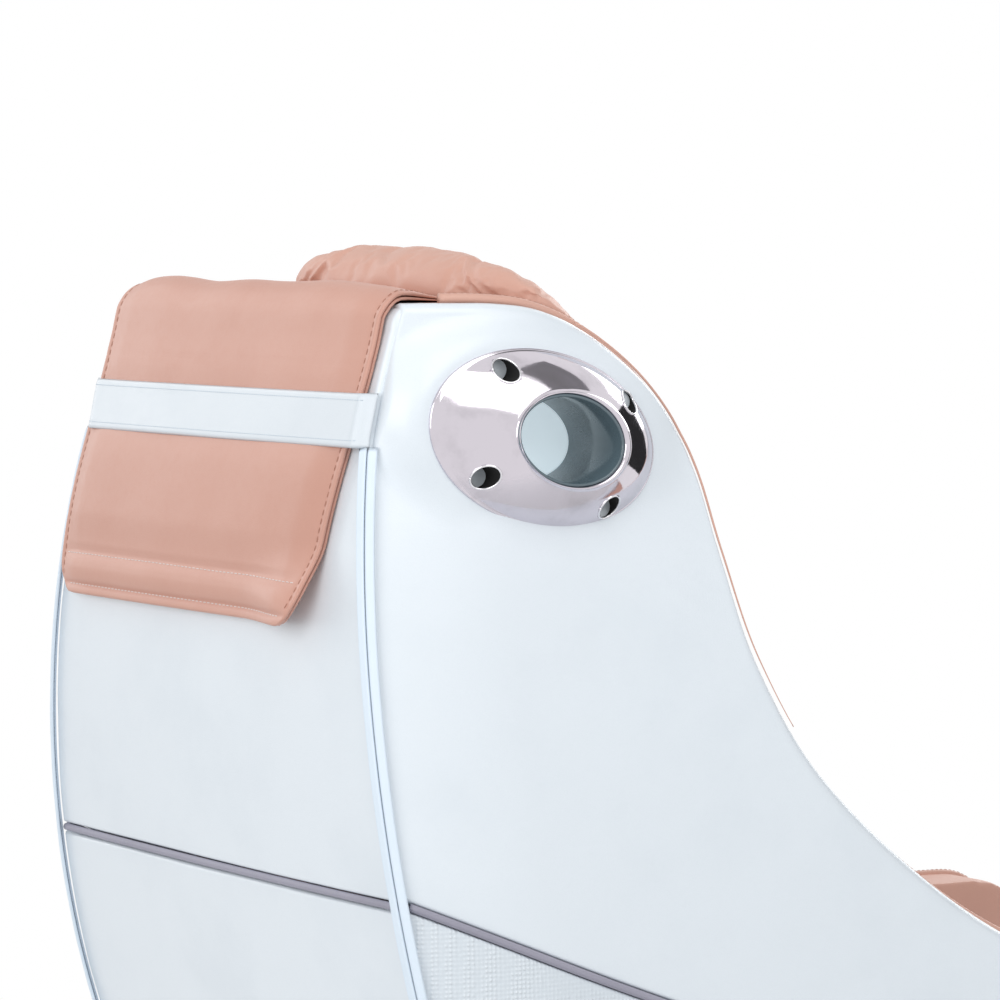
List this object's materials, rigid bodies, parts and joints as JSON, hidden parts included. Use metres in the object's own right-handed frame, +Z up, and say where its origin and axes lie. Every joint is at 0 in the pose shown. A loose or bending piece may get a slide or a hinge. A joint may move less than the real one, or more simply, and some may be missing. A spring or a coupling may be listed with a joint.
{
  "type": "pedicure spa chair",
  "caption": "Pedicure spa chair with a winged reclining shell seat, head pillow flap and side ports, sliding on a moulded base with a foot basin.",
  "frame": {"origin": "on the floor, midway between the base's front and the back's rear", "axes": "-Y is the way the sitter faces, +X is the sitter's left, +Z is up"},
  "size_m": [0.7546, 1.4263, 1.4],
  "materials": {
    "white_leather": "shiny white upholstery leather",
    "beaded_white": "white leather embossed with fine beads",
    "pink_leather": "rose tan upholstery leather",
    "grey_piping": "grey mauve piping",
    "zip_tape": "pale woven zip cover",
    "dark_chrome": "dark nickel chrome",
    "port_grey": "glossy dark grey",
    "port_cap": "pale translucent cap",
    "frame_steel": "satin black powder coat",
    "bright_steel": "machined steel",
    "chrome": "polished chrome",
    "base_white": "glossy moulded acrylic",
    "bowl_white": "glossy white acrylic",
    "black_plastic": "fine matte",
    "grey_plastic": "fine matte",
    "lamp_lens": "frosted lens",
    "black_rubber": "matte",
    "pipe_plastic": "smooth pipe"
  },
  "bodies": {
    "base": {"base_tub": "base_white", "foot_bowl": "bowl_white", "bowl_lamp": "lamp_lens", "jet_housings": "grey_plastic", "jet_grilles": "chrome", "drain_pipe": "pipe_plastic", "levelling_feet": "black_rubber", "access_panel": "base_white", "panel_screws": "bright_steel", "water_inlets": "bright_steel", "power_gland": "black_plastic", "faucet_body": "chrome", "deck_sockets": "chrome", "control_panel": "grey_plastic", "slide_rails": "bright_steel", "slide_motor": "black_plastic"},
    "slider": {"slider_frame": "frame_steel"},
    "shell": {"chair_frame": "frame_steel", "seat_pan": "frame_steel", "seat_cushion": "pink_leather", "back_pad": "pink_leather", "head_pillow": "pink_leather", "back_flap": "pink_leather", "flap_strap": "white_leather", "top_cap": "pink_leather", "side_panel_left": "white_leather", "side_panel_right": "white_leather", "wing_lining_left": "pink_leather", "wing_lining_right": "pink_leather", "lower_side_panels": "beaded_white", "rear_panel_upper": "white_leather", "rear_panel_lower": "white_leather", "grey_piping": "grey_piping", "zip_plackets": "zip_tape", "port_bezels": "dark_chrome", "port_tubes": "port_grey", "port_caps": "port_cap", "keypad_housing": "grey_plastic", "guide_rails": "bright_steel"},
    "footrest": {"footrest_yoke": "frame_steel", "footrest_pad": "pink_leather"},
    "carriage": {"carriage": "black_plastic"},
    "lead_screw": {"lead_screw": "bright_steel"},
    "slide_screw": {"slide_screw": "bright_steel"},
    "roller_arm_left": {"roller_arm_left": "frame_steel"},
    "roller_arm_right": {"roller_arm_right": "frame_steel"},
    "rollers_left": {"rollers_left": "black_plastic"},
    "rollers_right": {"rollers_right": "black_plastic"},
    "actuator_body": {"actuator_body": "frame_steel"},
    "actuator_rod": {"actuator_rod": "bright_steel"},
    "jet_impeller_left": {"jet_impeller_left": "black_plastic"},
    "jet_impeller_right": {"jet_impeller_right": "black_plastic"},
    "drain_stopper": {"drain_stopper": "chrome"},
    "mixer_lever": {"mixer_lever": "chrome"},
    "spray_handle": {"spray_handle": "chrome"},
    "panel_button_jets": {"panel_button_jets": "chrome"},
    "panel_button_lamp": {"panel_button_lamp": "chrome"},
    "keypad_button_up": {"keypad_button_up": "chrome"},
    "keypad_button_down": {"keypad_button_down": "chrome"},
    "footrest_post": {"footrest_post": "chrome"}
  },
  "joints": [
    {"name": "seat_slide", "type": "slide", "parent": "base", "child": "slider", "axis": [0, -1, 0], "range_m": [0, 0.1]},
    {"name": "slide_screw_turn", "type": "hinge", "parent": "base", "child": "slide_screw", "pos_m": [0, 0, 0.305], "axis": [0, 1, 0], "range_deg": [0, 3610]},
    {"name": "recline", "type": "hinge", "parent": "slider", "child": "shell", "pos_m": [0, 0.38, 0.375], "axis": [-1, 0, 0], "range_deg": [0, 12]},
    {"name": "actuator_hinge", "type": "hinge", "parent": "slider", "child": "actuator_body", "pos_m": [0, 0.04, 0.336], "axis": [1, 0, 0], "range_deg": [0, 3.5]},
    {"name": "actuator_stroke", "type": "slide", "parent": "actuator_body", "child": "actuator_rod", "axis": [0, 0.4926, 0.8703], "range_m": [0, 0.061]},
    {"name": "carriage_climb", "type": "slide", "parent": "shell", "child": "carriage", "axis": [0, 0.0872, 0.9962], "range_m": [0, 0.48]},
    {"name": "lead_screw_turn", "type": "hinge", "parent": "shell", "child": "lead_screw", "pos_m": [0, 0.545, 0.45], "axis": [0, 0.0872, 0.9962], "range_deg": [0, 8650]},
    {"name": "roller_arm_left_swing", "type": "hinge", "parent": "carriage", "child": "roller_arm_left", "pos_m": [0.062, 0.51972, 0.64294], "axis": [1, 0, 0], "range_deg": [-10, 0]},
    {"name": "rollers_left_spin", "type": "hinge", "parent": "roller_arm_left", "child": "rollers_left", "pos_m": [0.062, 0.49524, 0.70732], "axis": [1, 0, 0], "continuous": true},
    {"name": "roller_arm_right_swing", "type": "hinge", "parent": "carriage", "child": "roller_arm_right", "pos_m": [-0.062, 0.51972, 0.64294], "axis": [1, 0, 0], "range_deg": [-10, 0]},
    {"name": "rollers_right_spin", "type": "hinge", "parent": "roller_arm_right", "child": "rollers_right", "pos_m": [-0.062, 0.49524, 0.70732], "axis": [1, 0, 0], "continuous": true},
    {"name": "jet_left_spin", "type": "hinge", "parent": "base", "child": "jet_impeller_left", "pos_m": [0.185, -0.452, 0.238], "axis": [1, 0, 0], "continuous": true},
    {"name": "jet_right_spin", "type": "hinge", "parent": "base", "child": "jet_impeller_right", "pos_m": [-0.185, -0.452, 0.238], "axis": [1, 0, 0], "continuous": true},
    {"name": "mixer_turn", "type": "hinge", "parent": "base", "child": "mixer_lever", "pos_m": [0.2, -0.615, 0.41], "axis": [0, 0, 1], "range_deg": [-45, 45]},
    {"name": "spray_lift", "type": "slide", "parent": "base", "child": "spray_handle", "axis": [0, 0, 1], "range_m": [0, 0.15]},
    {"name": "stopper_lift", "type": "slide", "parent": "base", "child": "drain_stopper", "axis": [0, 0, 1], "range_m": [0, 0.01]},
    {"name": "footrest_height", "type": "slide", "parent": "base", "child": "footrest_post", "axis": [0, 0, 1], "range_m": [0, 0.08]},
    {"name": "footrest_tilt", "type": "hinge", "parent": "footrest_post", "child": "footrest", "pos_m": [0, -0.672, 0.438], "axis": [1, 0, 0], "range_deg": [-15, 15]},
    {"name": "jets_press", "type": "slide", "parent": "base", "child": "panel_button_jets", "axis": [0, 0, -1], "range_m": [0, 0.002], "stiffness_N_per_m": 400},
    {"name": "lamp_press", "type": "slide", "parent": "base", "child": "panel_button_lamp", "axis": [0, 0, -1], "range_m": [0, 0.002], "stiffness_N_per_m": 400},
    {"name": "key_up_press", "type": "slide", "parent": "shell", "child": "keypad_button_up", "axis": [0, 0.0564, -0.9984], "range_m": [0, 0.002], "stiffness_N_per_m": 400},
    {"name": "key_down_press", "type": "slide", "parent": "shell", "child": "keypad_button_down", "axis": [0, 0.0564, -0.9984], "range_m": [0, 0.002], "stiffness_N_per_m": 400}
  ],
  "couplings": [
    {"joint": "slide_screw_turn", "follows": "seat_slide", "rad_per_m": 628.32},
    {"joint": "actuator_hinge", "follows": "recline", "ratio": 0.27678},
    {"joint": "actuator_stroke", "follows": "recline", "m_per_rad": 0.28442},
    {"joint": "lead_screw_turn", "follows": "carriage_climb", "rad_per_m": 314.16}
  ]
}
